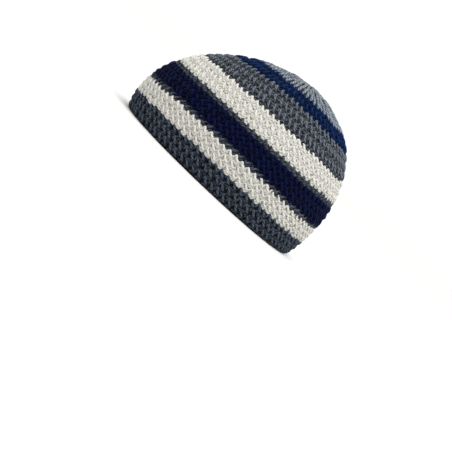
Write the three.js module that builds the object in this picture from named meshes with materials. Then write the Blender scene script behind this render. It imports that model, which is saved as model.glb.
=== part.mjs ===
import * as THREE from "three";

// Striped crocheted skull cap lying on its rim, open underneath. Millimetres, +Z up.
// The forehead faces -Y and the left ear faces +X.
// The origin is on the ground, under the middle of the cap's box.

// Overall sizes
const CAP_LENGTH = 187.2;
const CAP_BREADTH = 154;
const CAP_HEIGHT = 115.2;

// Fabric
const FABRIC_THICKNESS = 4.2;
const GROOVE_DEPTH = 0.9; // how deep the outside dips between two rounds of stitches
const STRIPE_GAP = 0.3; // clearance between neighbouring stripes, measured up the fabric
const EDGE_ROUNDING = 0.5; // how far the rim's flat underside stays back from the two faces

// How much the nape end of every round is wider than the forehead end
const EGG_SHAPE = 0.04;

// Fineness of the faceted surface
const SIDES_ROUND = 56;
const SMALL_STEP = 1e-3; // a share of the way up, or an angle in radians, too small to see

// Yarns
const CHARCOAL_YARN = "#35383d";
const OFF_WHITE_YARN = "#cfcdc4";
const SLATE_YARN = "#565b61";
const NAVY_YARN = "#10163a";
const BLUE_NAVY_YARN = "#17294f";
const GREY_YARN = "#4d5156";
const SILVER_YARN = "#8b9097";

// Stripes from the rim to the top. share: part of the way up the fabric from rim to top.
// rounds: rounds of stitches in that stripe.
const STRIPES = [
  { name: "rim_band", rounds: 3, share: 0.0974, yarn: CHARCOAL_YARN },
  { name: "lower_white_stripe", rounds: 3, share: 0.0858, yarn: OFF_WHITE_YARN },
  { name: "lower_slate_round", rounds: 1, share: 0.0242, yarn: SLATE_YARN },
  { name: "navy_stripe", rounds: 3, share: 0.0876, yarn: NAVY_YARN },
  { name: "upper_slate_round", rounds: 1, share: 0.0242, yarn: SLATE_YARN },
  { name: "upper_white_stripe", rounds: 3, share: 0.1285, yarn: OFF_WHITE_YARN },
  { name: "grey_stripe", rounds: 3, share: 0.1822, yarn: GREY_YARN },
  { name: "thin_navy_stripe", rounds: 2, share: 0.1114, yarn: BLUE_NAVY_YARN },
  { name: "crown", rounds: 4, share: 0.2587, yarn: SILVER_YARN },
];

// The cap's form over the forehead, the nape and the ears, at some places up the fabric.
// at: part of the way from rim to top. front, back: reach from the middle, as shares of half the
// length. side: reach as a share of half the breadth. *_rise: height as a share of the height.
const FORM = [
  { at: 0.0, front: 0.96, back: 0.965, side: 0.966, front_rise: 0.0, back_rise: 0.0, side_rise: 0.0 },
  { at: 0.0974, front: 0.997, back: 0.996, side: 0.992, front_rise: 0.14, back_rise: 0.143, side_rise: 0.165 },
  { at: 0.1832, front: 0.995, back: 1.0, side: 1.0, front_rise: 0.264, back_rise: 0.267, side_rise: 0.301 },
  { at: 0.2563, front: 0.96, back: 0.991, side: 0.99, front_rise: 0.386, back_rise: 0.389, side_rise: 0.411 },
  { at: 0.3192, front: 0.898, back: 0.963, side: 0.968, front_rise: 0.496, back_rise: 0.5, side_rise: 0.506 },
  { at: 0.3835, front: 0.833, back: 0.931, side: 0.935, front_rise: 0.574, back_rise: 0.579, side_rise: 0.591 },
  { at: 0.4477, front: 0.76, back: 0.89, side: 0.889, front_rise: 0.64, back_rise: 0.651, side_rise: 0.671 },
  { at: 0.5298, front: 0.689, back: 0.835, side: 0.808, front_rise: 0.7, back_rise: 0.73, side_rise: 0.757 },
  { at: 0.6119, front: 0.612, back: 0.763, side: 0.703, front_rise: 0.76, back_rise: 0.801, side_rise: 0.832 },
  { at: 0.7213, front: 0.401, back: 0.641, side: 0.534, front_rise: 0.873, back_rise: 0.888, side_rise: 0.915 },
  { at: 0.86, front: 0.137, back: 0.383, side: 0.27, front_rise: 0.96, back_rise: 0.975, side_rise: 0.98 },
  { at: 0.93, front: 0.006, back: 0.246, side: 0.134, front_rise: 0.986, back_rise: 0.996, side_rise: 0.996 },
  { at: 1.0, front: -0.117, back: 0.117, side: 0.0, front_rise: 1.0, back_rise: 1.0, side_rise: 1.0 },
];

// Smooth curve through one column of the form table
function formCurve(column) {
  const places = FORM.map((row) => row.at);
  const values = FORM.map((row) => row[column]);
  const curve = new THREE.CubicInterpolant(places, values, 1);
  return (at) => curve.evaluate(at)[0];
}

const frontReach = formCurve("front");
const backReach = formCurve("back");
const sideReach = formCurve("side");
const frontRise = formCurve("front_rise");
const backRise = formCurve("back_rise");
const sideRise = formCurve("side_rise");

// A point on the outer face of the fabric, at an angle round the cap and a share of the way up
function faceOfFabric(angle, at) {
  const front = frontReach(at) * CAP_LENGTH / 2;
  const back = backReach(at) * CAP_LENGTH / 2;
  const side = sideReach(at) * CAP_BREADTH / 2;
  const across = Math.cos(angle);
  const along = Math.sin(angle);
  const endRise = (frontRise(at) + backRise(at)) / 2;
  const tilt = (backRise(at) - frontRise(at)) / 2;
  const rise = sideRise(at) * across ** 2 + endRise * along ** 2 + tilt * along;
  return new THREE.Vector3(
    side * across * (1 + EGG_SHAPE * along),
    (back - front) / 2 + (back + front) / 2 * along,
    rise * CAP_HEIGHT,
  );
}

// Length of the fabric from rim to top, measured over the forehead
function fabricLength() {
  const steps = 200;
  const forehead = -Math.PI / 2;
  let length = 0;
  for (let i = 0; i < steps; i += 1) {
    const here = faceOfFabric(forehead, i / steps);
    const next = faceOfFabric(forehead, (i + 1) / steps);
    length += here.distanceTo(next);
  }
  return length;
}

// The direction that points straight out of the fabric
function outOfFabric(angle, at) {
  const place = Math.min(at, 1 - SMALL_STEP);
  const below = faceOfFabric(angle, Math.max(place - SMALL_STEP, 0));
  const above = faceOfFabric(angle, place + SMALL_STEP);
  const before = faceOfFabric(angle - SMALL_STEP, place);
  const after = faceOfFabric(angle + SMALL_STEP, place);
  return after.sub(before).cross(above.sub(below)).normalize();
}

// The cap is drawn as a flat disc, its middle the top and its edge the rim, and draped over the form.
// In the flat disc the distance from the middle is 1 at the rim, and z is minus the depth in the fabric.
function drape(disc) {
  const position = disc.getAttribute("position");
  const flat = new THREE.Vector3();
  for (let i = 0; i < position.count; i += 1) {
    flat.fromBufferAttribute(position, i);
    const fromMiddle = Math.hypot(flat.x, flat.y);
    const isTop = fromMiddle < SMALL_STEP / 2;
    const angle = isTop ? 0 : Math.atan2(flat.y, flat.x);
    const at = isTop ? 1 : 1 - fromMiddle;
    const isRim = at < SMALL_STEP / 2;
    const point = faceOfFabric(angle, isRim ? 0 : at);
    const out = isTop ? new THREE.Vector3(0, 0, 1) : outOfFabric(angle, at);
    if (isRim) {
      out.setZ(0).normalize();
    }
    point.addScaledVector(out, flat.z);
    position.setXYZ(i, point.x, point.y, point.z);
  }
  disc.computeVertexNormals();
  return disc;
}

// Section through one stripe, between two shares of the way up: up its inside, out and down its outside.
// A ring's section closes on itself, and the crown's starts and ends at the middle of the disc.
function stripeSection(start, end, rounds) {
  const perMillimetre = 1 / fabricLength();
  const isRim = start === 0;
  const isTop = end === 1;
  const low = isRim ? 0 : start + STRIPE_GAP / 2 * perMillimetre;
  const high = isTop ? 1 : end - STRIPE_GAP / 2 * perMillimetre;
  const roundShare = (high - low) / rounds;
  const discPoint = (at, depth) => new THREE.Vector2(1 - at, -depth);
  const section = [];

  for (let i = rounds; i > 0; i -= 1) {
    section.push(discPoint(low + i * roundShare, FABRIC_THICKNESS));
  }
  if (isRim) {
    const corner = EDGE_ROUNDING * perMillimetre;
    section.push(discPoint(corner, FABRIC_THICKNESS));
    section.push(discPoint(0, FABRIC_THICKNESS - EDGE_ROUNDING));
    section.push(discPoint(0, GROOVE_DEPTH + EDGE_ROUNDING));
    section.push(discPoint(corner, GROOVE_DEPTH));
  } else {
    section.push(discPoint(low, FABRIC_THICKNESS));
    section.push(discPoint(low, GROOVE_DEPTH));
  }
  for (let i = 0; i < rounds; i += 1) {
    const isMiddle = isTop && i === rounds - 1;
    section.push(discPoint(low + (i + 0.5) * roundShare, 0));
    section.push(discPoint(low + (i + 1) * roundShare, isMiddle ? 0 : GROOVE_DEPTH));
  }
  if (!isTop) {
    section.push(section[0].clone());
  }
  return section;
}

const cap = new THREE.Group();
let start = 0;
STRIPES.forEach((stripe, index) => {
  const isLast = index === STRIPES.length - 1;
  const end = isLast ? 1 : start + stripe.share;
  const section = stripeSection(start, end, stripe.rounds);
  const flat = new THREE.LatheGeometry(section, SIDES_ROUND).rotateX(Math.PI / 2);
  const material = new THREE.MeshStandardMaterial({ color: stripe.yarn, roughness: 0.9, metalness: 0 });
  const mesh = new THREE.Mesh(drape(flat), material);
  mesh.name = stripe.name;
  cap.add(mesh);
  start = end;
});

export default cap;
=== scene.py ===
import math

import bmesh
import bpy
import numpy as np
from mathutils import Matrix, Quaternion, Vector


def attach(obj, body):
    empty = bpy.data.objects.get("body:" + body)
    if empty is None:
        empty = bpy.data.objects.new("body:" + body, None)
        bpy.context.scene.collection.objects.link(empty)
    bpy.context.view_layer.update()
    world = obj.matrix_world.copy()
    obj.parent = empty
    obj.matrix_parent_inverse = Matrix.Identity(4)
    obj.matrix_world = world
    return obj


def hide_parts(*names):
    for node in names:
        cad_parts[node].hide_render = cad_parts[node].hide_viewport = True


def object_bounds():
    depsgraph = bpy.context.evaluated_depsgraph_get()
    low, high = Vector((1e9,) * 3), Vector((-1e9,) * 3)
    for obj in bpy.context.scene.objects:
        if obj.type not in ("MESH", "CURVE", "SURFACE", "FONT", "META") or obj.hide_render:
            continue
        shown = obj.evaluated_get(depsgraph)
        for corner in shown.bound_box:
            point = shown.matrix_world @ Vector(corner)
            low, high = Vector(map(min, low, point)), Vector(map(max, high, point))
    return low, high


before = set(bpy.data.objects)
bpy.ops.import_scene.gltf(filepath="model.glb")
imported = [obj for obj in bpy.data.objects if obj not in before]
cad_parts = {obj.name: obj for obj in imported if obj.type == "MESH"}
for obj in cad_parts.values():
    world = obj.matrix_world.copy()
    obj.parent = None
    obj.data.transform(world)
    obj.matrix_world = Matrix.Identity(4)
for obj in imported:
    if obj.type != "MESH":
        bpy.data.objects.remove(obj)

# Crocheted skull cap with stripes, lying on its rim. Metres, +Z up.
# The forehead faces -Y and the left ear faces +X.

cad_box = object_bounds()
CAP_BREADTH, CAP_LENGTH, CAP_HEIGHT = cad_box[1] - cad_box[0]
MM = 0.001

# Fabric, as in the solids
FABRIC_THICKNESS = 4.2 * MM
EGG_SHAPE = 0.04    # how much the nape end of every round is wider than the forehead end
SMALL_STEP = 1e-3   # a share of the way up, or an angle in radians, too small to see
FABRIC_STEPS = 200  # steps in which the fabric is measured from rim to top
ROUND_STEPS = 720   # steps in which a round is measured

# Yarn
YARN_RADIUS = 1.3 * MM
YARN_BEVEL = 1               # bevel resolution, which gives a strand six sides
YARN_STEPS = 2               # straight steps between two points of a stitch
YARN_SINK = 0.3 * MM         # how far strands lie in from the fabric's middle, to agree with the solids
POINT_WANDER = 0.09 * MM     # how far a point of a stitch strays from its place, as hand work does
STITCH_WANDER = 0.3 * MM     # how far a whole stitch strays from its place
GROUND_CLEARANCE = 0.3 * MM  # keeps the bends of the lowest strand off the ground
RANDOM_SEED = 7

# The cap's form over the forehead, the nape and the ears, at some places up the fabric.
# at: part of the way from rim to top. front, back: reach from the middle, as shares of half the
# length. side: reach as a share of half the breadth. *_rise: height as a share of the height.
FORM_COLUMNS = ("at", "front", "back", "side", "front_rise", "back_rise", "side_rise")
FORM = [
    (0.0, 0.96, 0.965, 0.966, 0.0, 0.0, 0.0),
    (0.0974, 0.997, 0.996, 0.992, 0.14, 0.143, 0.165),
    (0.1832, 0.995, 1.0, 1.0, 0.264, 0.267, 0.301),
    (0.2563, 0.96, 0.991, 0.99, 0.386, 0.389, 0.411),
    (0.3192, 0.898, 0.963, 0.968, 0.496, 0.5, 0.506),
    (0.3835, 0.833, 0.931, 0.935, 0.574, 0.579, 0.591),
    (0.4477, 0.76, 0.89, 0.889, 0.64, 0.651, 0.671),
    (0.5298, 0.689, 0.835, 0.808, 0.7, 0.73, 0.757),
    (0.6119, 0.612, 0.763, 0.703, 0.76, 0.801, 0.832),
    (0.7213, 0.401, 0.641, 0.534, 0.873, 0.888, 0.915),
    (0.86, 0.137, 0.383, 0.27, 0.96, 0.975, 0.98),
    (0.93, 0.006, 0.246, 0.134, 0.986, 0.996, 0.996),
    (1.0, -0.117, 0.117, 0.0, 1.0, 1.0, 1.0),
]
WIDEST = 0.1832  # part of the way up where the rounds are widest

# Stripes from the rim to the top, each with its name, its part of the way up the fabric, its yarn,
# the stitch that each of its rounds is worked in, from the lowest, and how many go round.
STRIPES = [
    ("rim_band", 0.0974, "charcoal_yarn", ("single",) * 3, (80, 80, 80)),
    ("lower_white_stripe", 0.0858, "white_yarn", ("single",) * 3, (80, 80, 80)),
    ("lower_slate_round", 0.0242, "slate_yarn", ("flicked_single",), (80,)),
    ("navy_stripe", 0.0876, "navy_yarn", ("reaching_single", "single", "single"), (80, 80, 80)),
    ("upper_slate_round", 0.0242, "slate_yarn", ("flat_single",), (80,)),
    ("upper_white_stripe", 0.1285, "white_yarn", ("tall_single",) * 3, (80, 80, 80)),
    ("grey_stripe", 0.1822, "grey_yarn", ("slanted_single",) * 3, (78, 74, 70)),
    # The thin navy stripe's yarn is the navy yarn drawn lighter and bluer: painted light, for the
    # stronger light and sheen on the top of the cap.
    ("thin_navy_stripe", 0.1114, "blue_navy_yarn", ("slanted_single",) * 2, (68, 66)),
    ("crown", 0.2587, "silver_yarn", ("double",) * 4, (64, 48, 32, 16)),
]

# One stitch of each kind, as the places that its strand goes through, each with four numbers.
# across: part of the way to the next stitch. up: part of the round's height. out: millimetres out of
# the middle of the fabric. thick: the strand's thickness there, 1 being its usual one, because it is
# pulled tight in front and puffs up behind.
STITCHES = {
    "single": [
        (-0.30, 0.50, -0.60, 1.20),
        (-0.12, 0.88, -0.10, 0.95),
        (0.03, 1.09, 0.65, 0.80),
        (0.22, 0.82, 1.25, 0.80),
        (0.45, 0.57, 1.40, 0.85),
        (0.68, 0.38, 1.10, 0.80),
        (0.84, 0.20, 0.10, 0.80),
        (0.86, 0.10, -0.30, 0.80),
        (0.74, 0.09, 0.40, 0.82),
        (0.46, 0.09, 0.55, 0.85),
        (0.20, 0.12, 0.00, 0.80),
        (0.12, 0.18, 0.20, 0.80),
        (0.32, 0.26, 0.85, 0.80),
        (0.58, 0.40, 0.30, 0.85),
        (0.88, 0.60, -0.30, 1.10),
        (1.04, 0.42, -0.85, 1.28),
        (0.76, 0.10, -0.95, 1.32),
        (0.30, 0.32, -0.95, 1.40),
        (0.42, 0.86, -0.95, 1.36),
    ],
    "reaching_single": [
        (-0.30, 0.50, -0.60, 1.20),
        (-0.12, 0.88, -0.10, 0.95),
        (0.03, 1.09, 0.65, 0.80),
        (0.22, 0.82, 1.25, 0.80),
        (0.45, 0.57, 1.40, 0.85),
        (0.68, 0.34, 1.10, 0.80),
        (0.84, 0.10, 0.40, 0.80),
        (0.88, -0.10, 0.20, 0.80),
        (0.74, -0.18, 0.50, 0.82),
        (0.46, -0.16, 0.60, 0.85),
        (0.20, -0.06, 0.20, 0.80),
        (0.12, 0.08, 0.30, 0.80),
        (0.32, 0.20, 0.85, 0.80),
        (0.58, 0.38, 0.30, 0.85),
        (0.88, 0.60, -0.30, 1.10),
        (1.04, 0.42, -0.85, 1.28),
        (0.76, 0.10, -0.95, 1.32),
        (0.30, 0.32, -0.95, 1.40),
        (0.42, 0.86, -0.95, 1.36),
    ],
    "tall_single": [
        (-0.30, 0.50, -0.50, 1.20),
        (-0.12, 0.78, -0.10, 1.00),
        (0.02, 1.00, 0.60, 0.80),
        (0.18, 0.77, 1.20, 0.84),
        (0.41, 0.57, 1.40, 0.88),
        (0.66, 0.38, 1.20, 0.86),
        (0.82, 0.22, 0.40, 0.82),
        (0.84, 0.14, 0.00, 0.82),
        (0.72, 0.08, 0.25, 0.90),
        (0.46, 0.07, 0.40, 0.95),
        (0.20, 0.11, 0.10, 0.88),
        (0.12, 0.20, 0.30, 0.88),
        (0.30, 0.30, 0.70, 0.94),
        (0.58, 0.45, 0.25, 1.00),
        (0.88, 0.58, 0.00, 1.15),
        (1.04, 0.42, -0.60, 1.36),
        (0.76, 0.12, -0.70, 1.40),
        (0.30, 0.34, -0.70, 1.46),
        (0.42, 0.83, -0.70, 1.46),
    ],
    "slanted_single": [
        (-0.26, 0.64, -0.60, 1.20),
        (-0.10, 0.88, 0.00, 0.90),
        (0.01, 1.03, 0.65, 0.78),
        (0.12, 0.78, 1.20, 0.78),
        (0.30, 0.50, 1.40, 0.82),
        (0.58, 0.27, 1.20, 0.82),
        (0.82, 0.12, 0.30, 0.80),
        (0.92, 0.00, -0.20, 0.80),
        (0.78, -0.06, 0.30, 0.82),
        (0.45, -0.04, 0.45, 0.85),
        (0.14, 0.02, 0.00, 0.80),
        (0.06, 0.12, 0.30, 0.80),
        (0.30, 0.20, 0.85, 0.80),
        (0.56, 0.34, 0.25, 0.85),
        (0.84, 0.52, -0.20, 1.20),
        (1.00, 0.30, -0.85, 1.44),
        (0.72, 0.12, -0.95, 1.46),
        (0.20, 0.44, -0.95, 1.54),
        (0.46, 0.84, -0.95, 1.54),
    ],
    "flicked_single": [
        (-0.30, 0.50, -0.60, 1.20),
        (-0.12, 0.74, -0.40, 1.00),
        (0.02, 0.78, -0.25, 0.90),
        (0.20, 0.66, -0.10, 0.88),
        (0.44, 0.50, 0.05, 0.88),
        (0.68, 0.34, 0.05, 0.86),
        (0.86, 0.20, 0.00, 0.84),
        (0.92, 0.11, -0.10, 0.84),
        (0.78, 0.06, 0.10, 0.84),
        (0.42, 0.06, 0.10, 0.84),
        (0.12, 0.10, 0.00, 0.84),
        (0.08, 0.20, 0.00, 0.84),
        (0.26, 0.42, 0.60, 0.80),
        (0.52, 0.70, 1.05, 0.76),
        (0.78, 1.02, 0.90, 0.80),
        (0.96, 0.80, -0.50, 1.00),
        (1.00, 0.50, -0.80, 1.20),
        (0.76, 0.10, -0.90, 1.28),
        (0.30, 0.30, -0.90, 1.34),
        (0.42, 0.86, -0.90, 1.34),
    ],
    "flat_single": [
        (-0.30, 0.50, -0.60, 1.20),
        (-0.14, 0.92, -0.10, 0.85),
        (0.01, 1.26, 0.75, 0.78),
        (0.12, 1.02, 0.70, 0.80),
        (0.30, 0.78, 0.75, 0.86),
        (0.60, 0.58, 0.60, 0.90),
        (0.84, 0.40, -0.30, 0.85),
        (0.92, 0.34, -0.40, 0.85),
        (0.76, 0.30, 0.40, 0.85),
        (0.46, 0.32, 0.60, 0.90),
        (0.18, 0.38, 0.00, 0.85),
        (0.12, 0.50, -0.10, 0.85),
        (0.32, 0.62, 0.50, 0.92),
        (0.58, 0.76, 0.40, 0.95),
        (0.88, 0.66, -0.60, 1.10),
        (1.04, 0.42, -0.85, 1.28),
        (0.76, 0.10, -0.95, 1.30),
        (0.30, 0.30, -0.95, 1.34),
        (0.42, 0.86, -0.95, 1.30),
    ],
    "double": [
        (-0.30, 0.84, -0.90, 1.20),
        (-0.12, 0.94, 0.00, 1.00),
        (0.05, 1.00, 0.40, 0.90),
        (0.35, 0.95, 0.90, 0.90),
        (0.60, 0.88, 0.80, 0.90),
        (0.74, 0.78, -0.20, 1.00),
        (0.62, 0.58, -1.00, 1.20),
        (0.64, 0.25, -1.00, 1.20),
        (0.72, -0.14, -0.20, 1.00),
        (0.66, -0.16, 0.50, 1.00),
        (0.52, 0.22, 0.95, 1.05),
        (0.36, 0.50, 1.10, 1.05),
        (0.20, 0.78, 0.80, 1.00),
        (0.12, 0.90, 0.00, 1.00),
        (0.16, 0.66, -1.00, 1.20),
        (0.10, 0.30, -1.00, 1.20),
        (0.32, 0.10, -1.00, 1.20),
        (0.40, 0.50, -1.00, 1.20),
    ],
}

# Camera, level with the photograph's and rolled as it was held
VIEW_DISTANCE = 1.0
VIEW_HEIGHT = 0.084
VIEW_ALONG = 0.0381  # how far towards the nape the middle of the picture is
VIEW_LOW = -0.0171   # height that the middle of the picture shows on the cap's middle plane
VIEW_ROLL = math.radians(43.5)
LENS = 96.4

# Floor and light
FLOOR_RADIUS = 8.0
FLOOR_SIDES = 96
PAPER_DARK = "#dddcda"
PAPER_LIGHT = "#e2e1df"
PAPER_GRAIN = 400.0      # grains in a metre
PAPER_ROUGHNESS = 0.9
PAPER_GLOSS = 0.1        # specular level
ROOM_LIGHT_LEVEL = 1.06  # strength of the room's light at the level of the cap and below
ROOM_LIGHT_ABOVE = 1.5   # and overhead
LAMP_PLACE = (0.5, 0.3, 1.1)
LAMP_BREADTH = 0.9
LAMP_POWER = 8.0


def make_camera():
    place = Vector((VIEW_DISTANCE, VIEW_ALONG, VIEW_HEIGHT))
    target = Vector((0, VIEW_ALONG, VIEW_LOW))
    camera = bpy.data.objects.new("camera", bpy.data.cameras.new("camera"))
    camera.data.lens = LENS
    camera.location = place
    camera.rotation_mode = "QUATERNION"
    level = (target - place).to_track_quat("-Z", "Y")
    camera.rotation_quaternion = level @ Quaternion((0, 0, 1), VIEW_ROLL)
    bpy.context.collection.objects.link(camera)
    bpy.context.scene.camera = camera


# Form of the cap

def form_curve(column):
    """Smooth curve through one column of the form table."""
    table = np.array(FORM)
    places = table[:, 0]
    values = table[:, FORM_COLUMNS.index(column)]
    slopes = np.diff(values) / np.diff(places)
    tangents = np.concatenate([slopes[:1], (slopes[:-1] + slopes[1:]) / 2, slopes[-1:]])

    def curve(at):
        low = np.clip(np.searchsorted(places, at, side="right") - 1, 0, len(slopes) - 1)
        gap = places[low + 1] - places[low]
        t = (at - places[low]) / gap
        rising = t * t * (3 - 2 * t)
        from_low = t * (1 - t) ** 2 * gap * tangents[low]
        from_high = t * t * (1 - t) * gap * tangents[low + 1]
        return values[low] * (1 - rising) + values[low + 1] * rising + from_low - from_high

    return curve


front_reach = form_curve("front")
back_reach = form_curve("back")
side_reach = form_curve("side")
front_rise = form_curve("front_rise")
back_rise = form_curve("back_rise")
side_rise = form_curve("side_rise")


def face_of_fabric(angle, at):
    """Points on the outer face, at angles round the cap and shares of the way up."""
    front = front_reach(at) * CAP_LENGTH / 2
    back = back_reach(at) * CAP_LENGTH / 2
    side = side_reach(at) * CAP_BREADTH / 2
    across = np.cos(angle)
    along = np.sin(angle)
    end_rise = (front_rise(at) + back_rise(at)) / 2
    tilt = (back_rise(at) - front_rise(at)) / 2
    rise = side_rise(at) * across ** 2 + end_rise * along ** 2 + tilt * along
    return np.stack([
        side * across * (1 + EGG_SHAPE * along),
        (back - front) / 2 + (back + front) / 2 * along,
        rise * CAP_HEIGHT,
    ], axis=-1)


def out_of_fabric(angle, at):
    """Directions straight out of the outer face."""
    place = np.clip(at, SMALL_STEP, 1 - 2 * SMALL_STEP)
    round_it = face_of_fabric(angle + SMALL_STEP, place) - face_of_fabric(angle - SMALL_STEP, place)
    up_it = face_of_fabric(angle, place + SMALL_STEP) - face_of_fabric(angle, place - SMALL_STEP)
    out = np.cross(round_it, up_it)
    return out / np.linalg.norm(out, axis=-1, keepdims=True)


def fabric_length():
    """Length of the fabric from rim to top, over the forehead."""
    steps = np.linspace(0, 1, FABRIC_STEPS + 1)
    line = face_of_fabric(np.full_like(steps, -math.pi / 2), steps)
    return np.linalg.norm(np.diff(line, axis=0), axis=1).sum()


def angle_of_share(share):
    """Angle of a share of the way round, so that stitches have equal widths at the widest place."""
    angles = np.linspace(0, 2 * math.pi, ROUND_STEPS + 1)
    line = face_of_fabric(angles, np.full_like(angles, WIDEST))
    walked = np.concatenate([[0], np.cumsum(np.linalg.norm(np.diff(line, axis=0), axis=1))])
    whole = np.floor(share)
    return np.interp(share - whole, walked / walked[-1], angles) + whole * 2 * math.pi


# Stitches

def round_of_stitches(stitch, count, low, high, random):
    """The places that the strand of one round goes through, low and high being shares of the way up."""
    table = np.array(STITCHES[stitch])
    index = np.repeat(np.arange(count), len(table))
    across, up, out, thick = np.tile(table, (count, 1)).T
    angle = angle_of_share((index + across) / count)
    lowest = YARN_RADIUS / fabric_length()
    at = np.clip(low + (high - low) * up, lowest, 1)
    depth = FABRIC_THICKNESS / 2 + YARN_SINK - out * MM
    straight_out = out_of_fabric(angle, at)
    points = face_of_fabric(angle, at) - straight_out * depth[:, None]
    points += random.normal(0, POINT_WANDER, points.shape)
    points += random.normal(0, STITCH_WANDER, (count, 3))[index]
    points[:, 2] = np.maximum(points[:, 2], YARN_RADIUS * thick + GROUND_CLEARANCE)
    return points, straight_out, depth, thick


def strand_mesh(name, points, straight_out, depths, thicks):
    """A closed strand of yarn through the points. Its UV holds millimetres along it and turns round
    it, and its attribute "depth" how many millimetres each place lies in from the outer face."""
    curve = bpy.data.curves.new(name, "CURVE")
    curve.dimensions = "3D"
    curve.resolution_u = YARN_STEPS
    curve.bevel_depth = YARN_RADIUS
    curve.bevel_resolution = YARN_BEVEL
    curve.fill_mode = "FULL"
    spline = curve.splines.new("BEZIER")
    spline.bezier_points.add(len(points) - 1)
    spline.bezier_points.foreach_set("co", points.ravel())
    spline.bezier_points.foreach_set("radius", thicks)
    for point in spline.bezier_points:
        point.handle_left_type = "AUTO"
        point.handle_right_type = "AUTO"
    spline.use_cyclic_u = True
    spline.use_smooth = True
    holder = bpy.data.objects.new(name, curve)
    bpy.context.collection.objects.link(holder)
    bpy.context.view_layer.update()
    finished = holder.evaluated_get(bpy.context.evaluated_depsgraph_get())
    mesh = bpy.data.meshes.new_from_object(finished)
    bpy.data.objects.remove(holder)

    length = np.linalg.norm(np.roll(points, -1, axis=0) - points, axis=1).sum() / MM
    uv = np.empty(len(mesh.loops) * 2)
    mesh.uv_layers[0].data.foreach_get("uv", uv)
    uv[0::2] *= length
    mesh.uv_layers[0].data.foreach_set("uv", uv)

    places = np.empty(len(mesh.vertices) * 3)
    mesh.vertices.foreach_get("co", places)
    rings = places.reshape(len(points) * YARN_STEPS, -1, 3)
    along = np.arange(len(rings)) / YARN_STEPS
    before = along.astype(int)
    after = (before + 1) % len(points)
    part = along - before
    out = straight_out[before] * (1 - part[:, None]) + straight_out[after] * part[:, None]
    middle_depth = depths[before] * (1 - part) + depths[after] * part
    from_middle = rings - rings.mean(axis=1, keepdims=True)
    depth = middle_depth[:, None] - (from_middle * out[:, None, :]).sum(axis=2)
    mesh.attributes.new("depth", "FLOAT", "POINT").data.foreach_set("value", depth.ravel() / MM)
    return mesh


def make_stripes():
    """One piece for each stripe, with all its rounds, in place of the stripe's solid."""
    random = np.random.default_rng(RANDOM_SEED)
    start = 0.0
    for name, share, slot, stitches, counts in STRIPES:
        joined = bmesh.new()
        for number, (stitch, count) in enumerate(zip(stitches, counts)):
            low = start + share * number / len(counts)
            high = start + share * (number + 1) / len(counts)
            strand = round_of_stitches(stitch, count, low, high, random)
            joined.from_mesh(strand_mesh(name, *strand))
        mesh = bpy.data.meshes.new(name + "_yarn")
        joined.to_mesh(mesh)
        joined.free()
        mesh.shade_smooth()
        piece = bpy.data.objects.new(name + "_yarn", mesh)
        bpy.context.collection.objects.link(piece)
        mesh.materials.append(MATERIALS[slot])
        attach(piece, "root")
        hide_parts(name)
        start += share


# Materials

def linear(hex_colour):
    """An sRGB hex colour as linear red, green, blue and alpha."""
    parts = [int(hex_colour[i:i + 2], 16) / 255 for i in (1, 3, 5)]
    return [p / 12.92 if p <= 0.04045 else ((p + 0.055) / 1.055) ** 2.4 for p in parts] + [1.0]


def add(tree, kind, settings=None, **inputs):
    """Adds a node with its settings and inputs. An input is named by its socket, with _ for each
    space, or by _ and the socket's number."""
    made = tree.nodes.new(kind)
    for key, value in (settings or {}).items():
        setattr(made, key, value)
    for key, value in inputs.items():
        number = key[1:]
        socket = made.inputs[int(number) if number.isdigit() else key.replace("_", " ")]
        if isinstance(value, bpy.types.NodeSocket):
            tree.links.new(value, socket)
        else:
            socket.default_value = value
    return made


# Each slot's sRGB colours of the yarn's lit side and of its shade, which is painted into the grooves
# between the plies and also serves for the dark fibres, and the share of its colour that is left deep
# in the fabric, where painted shade darkens it
YARNS = {
    "charcoal_yarn": ("#4b5461", "#10151d", 0.10),
    "white_yarn": ("#d0cfc8", "#aaa8a1", 0.80),
    "slate_yarn": ("#555b65", "#1a1e24", 0.18),
    "navy_yarn": ("#0d1539", "#000219", 0.24),
    # The navy yarn drawn lighter and bluer: painted light, for the stronger light and sheen on the top
    # of the cap.
    "blue_navy_yarn": ("#0e2854", "#030b20", 0.22),
    "grey_yarn": ("#676d77", "#1d2127", 0.12),
    "silver_yarn": ("#828990", "#3e434a", 0.20),
}
PLIES = 3
PLY_TWIST = 8.0       # millimetres of strand in which one ply goes once round
PLY_GROOVE = -1.0     # height on the wave across the plies, from -1 to 1, where painted shade makes the yarn darkest
PLY_RIDGE = 0.4       # and from which up it is fully lit
SHADED_FROM = 0.4     # millimetres in from the outer face where painted shade begins to darken the yarn
SHADED_TO = 2.2       # and where the painted shade is darkest, standing for the light that the fuzz of the strands above holds back
FIBRE_SIZE = 0.35     # millimetres, drawn many times as coarse as cotton fibre so that it shows
FIBRE_TONE = 0.5      # share of the lit colour where the fibres are darkest
FIBRE_CONTRAST = 0.6  # how much they add to it where they are lightest
FIBRE_HEIGHT = 0.35   # as a share of the plies' height
PATCH_SIZE = 14.0     # millimetres, of patches where the yarn is a little lighter or darker
PATCH_CONTRAST = 0.4
BUMP_STRENGTH = 0.7
BUMP_HEIGHT = 0.25    # millimetres
ROUGHNESS = 0.85
SHEEN = 0.02
SHEEN_ROUGHNESS = 0.5
GLOSS = 0.02          # specular level


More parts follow.
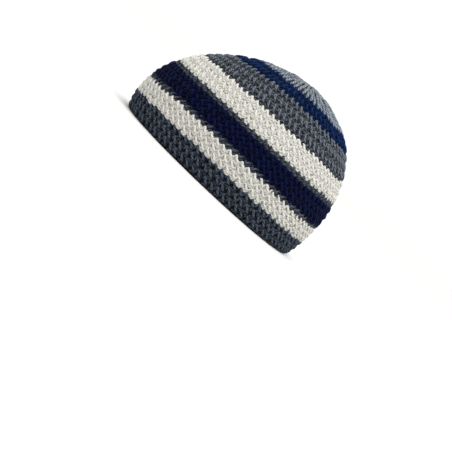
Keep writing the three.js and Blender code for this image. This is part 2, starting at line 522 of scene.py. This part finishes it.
def plied_cotton(name, lit, shade, deep_painted_shade):
    """Cotton yarn, spun and plied. The plies show as slanting ridges, with shade painted into the
    grooves between them, and the fibres as fine grain, and the strand looks dull and soft, with
    shade painted into its colour deep in the fabric."""
    material = bpy.data.materials.new(name)
    material.use_nodes = True
    tree = material.node_tree
    tree.nodes.clear()
    uv = add(tree, "ShaderNodeUVMap", {"uv_map": "UVMap"})
    parts = add(tree, "ShaderNodeSeparateXYZ", Vector=uv.outputs["UV"])
    turns = add(tree, "ShaderNodeMath", {"operation": "MULTIPLY_ADD"},
                _0=parts.outputs["X"], _1=1 / PLY_TWIST, _2=parts.outputs["Y"])
    phase = add(tree, "ShaderNodeMath", {"operation": "MULTIPLY"},
                _0=turns.outputs[0], _1=2 * math.pi * PLIES)
    wave = add(tree, "ShaderNodeMath", {"operation": "SINE"}, _0=phase.outputs[0])
    ply = add(tree, "ShaderNodeMapRange", {"interpolation_type": "SMOOTHSTEP"},
              Value=wave.outputs[0], From_Min=PLY_GROOVE, From_Max=PLY_RIDGE)
    place = add(tree, "ShaderNodeTexCoord")
    fibres = add(tree, "ShaderNodeTexNoise", Vector=place.outputs["Object"],
                 Scale=1 / (FIBRE_SIZE * MM), Detail=2.0)
    patches = add(tree, "ShaderNodeTexNoise", Vector=place.outputs["Object"],
                  Scale=1 / (PATCH_SIZE * MM), Detail=3.0)
    tone = add(tree, "ShaderNodeMath", {"operation": "MULTIPLY_ADD", "use_clamp": True},
               _0=fibres.outputs["Fac"], _1=FIBRE_CONTRAST, _2=FIBRE_TONE)
    # The ply wave paints shade into the grooves between the plies and light onto their ridges.
    with_ply = add(tree, "ShaderNodeMath", {"operation": "MULTIPLY"},
                   _0=tone.outputs[0], _1=ply.outputs[0])
    spread = add(tree, "ShaderNodeMath", {"operation": "MULTIPLY_ADD", "use_clamp": True},
                 _0=patches.outputs["Fac"], _1=PATCH_CONTRAST, _2=with_ply.outputs[0])
    colour = add(tree, "ShaderNodeMix", {"data_type": "RGBA"}, Factor=spread.outputs[0],
                 _6=linear(shade), _7=linear(lit))
    # Painted shade: the colour is darkened deeper in the fabric, as the depth attribute reads.
    depth = add(tree, "ShaderNodeAttribute", {"attribute_name": "depth"})
    deep = add(tree, "ShaderNodeMapRange", {"interpolation_type": "SMOOTHSTEP"},
               Value=depth.outputs["Fac"], From_Min=SHADED_FROM, From_Max=SHADED_TO,
               To_Min=1.0, To_Max=deep_painted_shade)
    shaded = add(tree, "ShaderNodeMix", {"data_type": "RGBA", "blend_type": "MULTIPLY"}, Factor=1.0,
                 _6=colour.outputs[2], _7=deep.outputs[0])
    height = add(tree, "ShaderNodeMath", {"operation": "MULTIPLY_ADD"},
                 _0=fibres.outputs["Fac"], _1=FIBRE_HEIGHT, _2=ply.outputs[0])
    bump = add(tree, "ShaderNodeBump", Strength=BUMP_STRENGTH, Distance=BUMP_HEIGHT * MM,
               Height=height.outputs[0])
    shader = add(tree, "ShaderNodeBsdfPrincipled", Base_Color=shaded.outputs[2],
                 Roughness=ROUGHNESS, Sheen_Weight=SHEEN, Sheen_Roughness=SHEEN_ROUGHNESS,
                 Specular_IOR_Level=GLOSS, Normal=bump.outputs[0])
    add(tree, "ShaderNodeOutputMaterial", Surface=shader.outputs[0])
    return material


MATERIALS = {name: plied_cotton("plied_cotton_" + name, *colours) for name, colours in YARNS.items()}


# Studio

def make_floor():
    """Plain pale paper, wide enough to run out of sight."""
    sheet = bmesh.new()
    bmesh.ops.create_circle(sheet, cap_ends=True, segments=FLOOR_SIDES, radius=FLOOR_RADIUS)
    mesh = bpy.data.meshes.new("floor")
    sheet.to_mesh(mesh)
    sheet.free()
    floor = bpy.data.objects.new("floor", mesh)
    bpy.context.collection.objects.link(floor)
    material = bpy.data.materials.new("matt_paper")
    material.use_nodes = True
    tree = material.node_tree
    tree.nodes.clear()
    place = add(tree, "ShaderNodeTexCoord")
    grain = add(tree, "ShaderNodeTexNoise", Vector=place.outputs["Object"], Scale=PAPER_GRAIN)
    colour = add(tree, "ShaderNodeMix", {"data_type": "RGBA"}, Factor=grain.outputs["Fac"],
                 _6=linear(PAPER_DARK), _7=linear(PAPER_LIGHT))
    shader = add(tree, "ShaderNodeBsdfPrincipled", Base_Color=colour.outputs[2],
                 Roughness=PAPER_ROUGHNESS, Specular_IOR_Level=PAPER_GLOSS)
    add(tree, "ShaderNodeOutputMaterial", Surface=shader.outputs[0])
    mesh.materials.append(material)


def make_light():
    """A white room, brighter overhead, and one wide soft lamp above."""
    world = bpy.data.worlds.new("white_room")
    world.use_nodes = True
    tree = world.node_tree
    tree.nodes.clear()
    place = add(tree, "ShaderNodeTexCoord")
    parts = add(tree, "ShaderNodeSeparateXYZ", Vector=place.outputs["Generated"])
    level = add(tree, "ShaderNodeMapRange", Value=parts.outputs["Z"], From_Min=0.0, From_Max=1.0,
                To_Min=ROOM_LIGHT_LEVEL, To_Max=ROOM_LIGHT_ABOVE)
    sky = add(tree, "ShaderNodeBackground", Color=(1, 1, 1, 1), Strength=level.outputs[0])
    add(tree, "ShaderNodeOutputWorld", Surface=sky.outputs[0])
    bpy.context.scene.world = world
    lamp = bpy.data.lights.new("soft_lamp", "AREA")
    lamp.shape = "DISK"
    lamp.size = LAMP_BREADTH
    lamp.energy = LAMP_POWER
    holder = bpy.data.objects.new("soft_lamp", lamp)
    holder.location = LAMP_PLACE
    holder.rotation_mode = "QUATERNION"
    holder.rotation_quaternion = (-holder.location).to_track_quat("-Z", "Y")
    bpy.context.collection.objects.link(holder)


bpy.context.scene.view_settings.view_transform = "Standard"
make_camera()
make_floor()
make_light()
make_stripes()
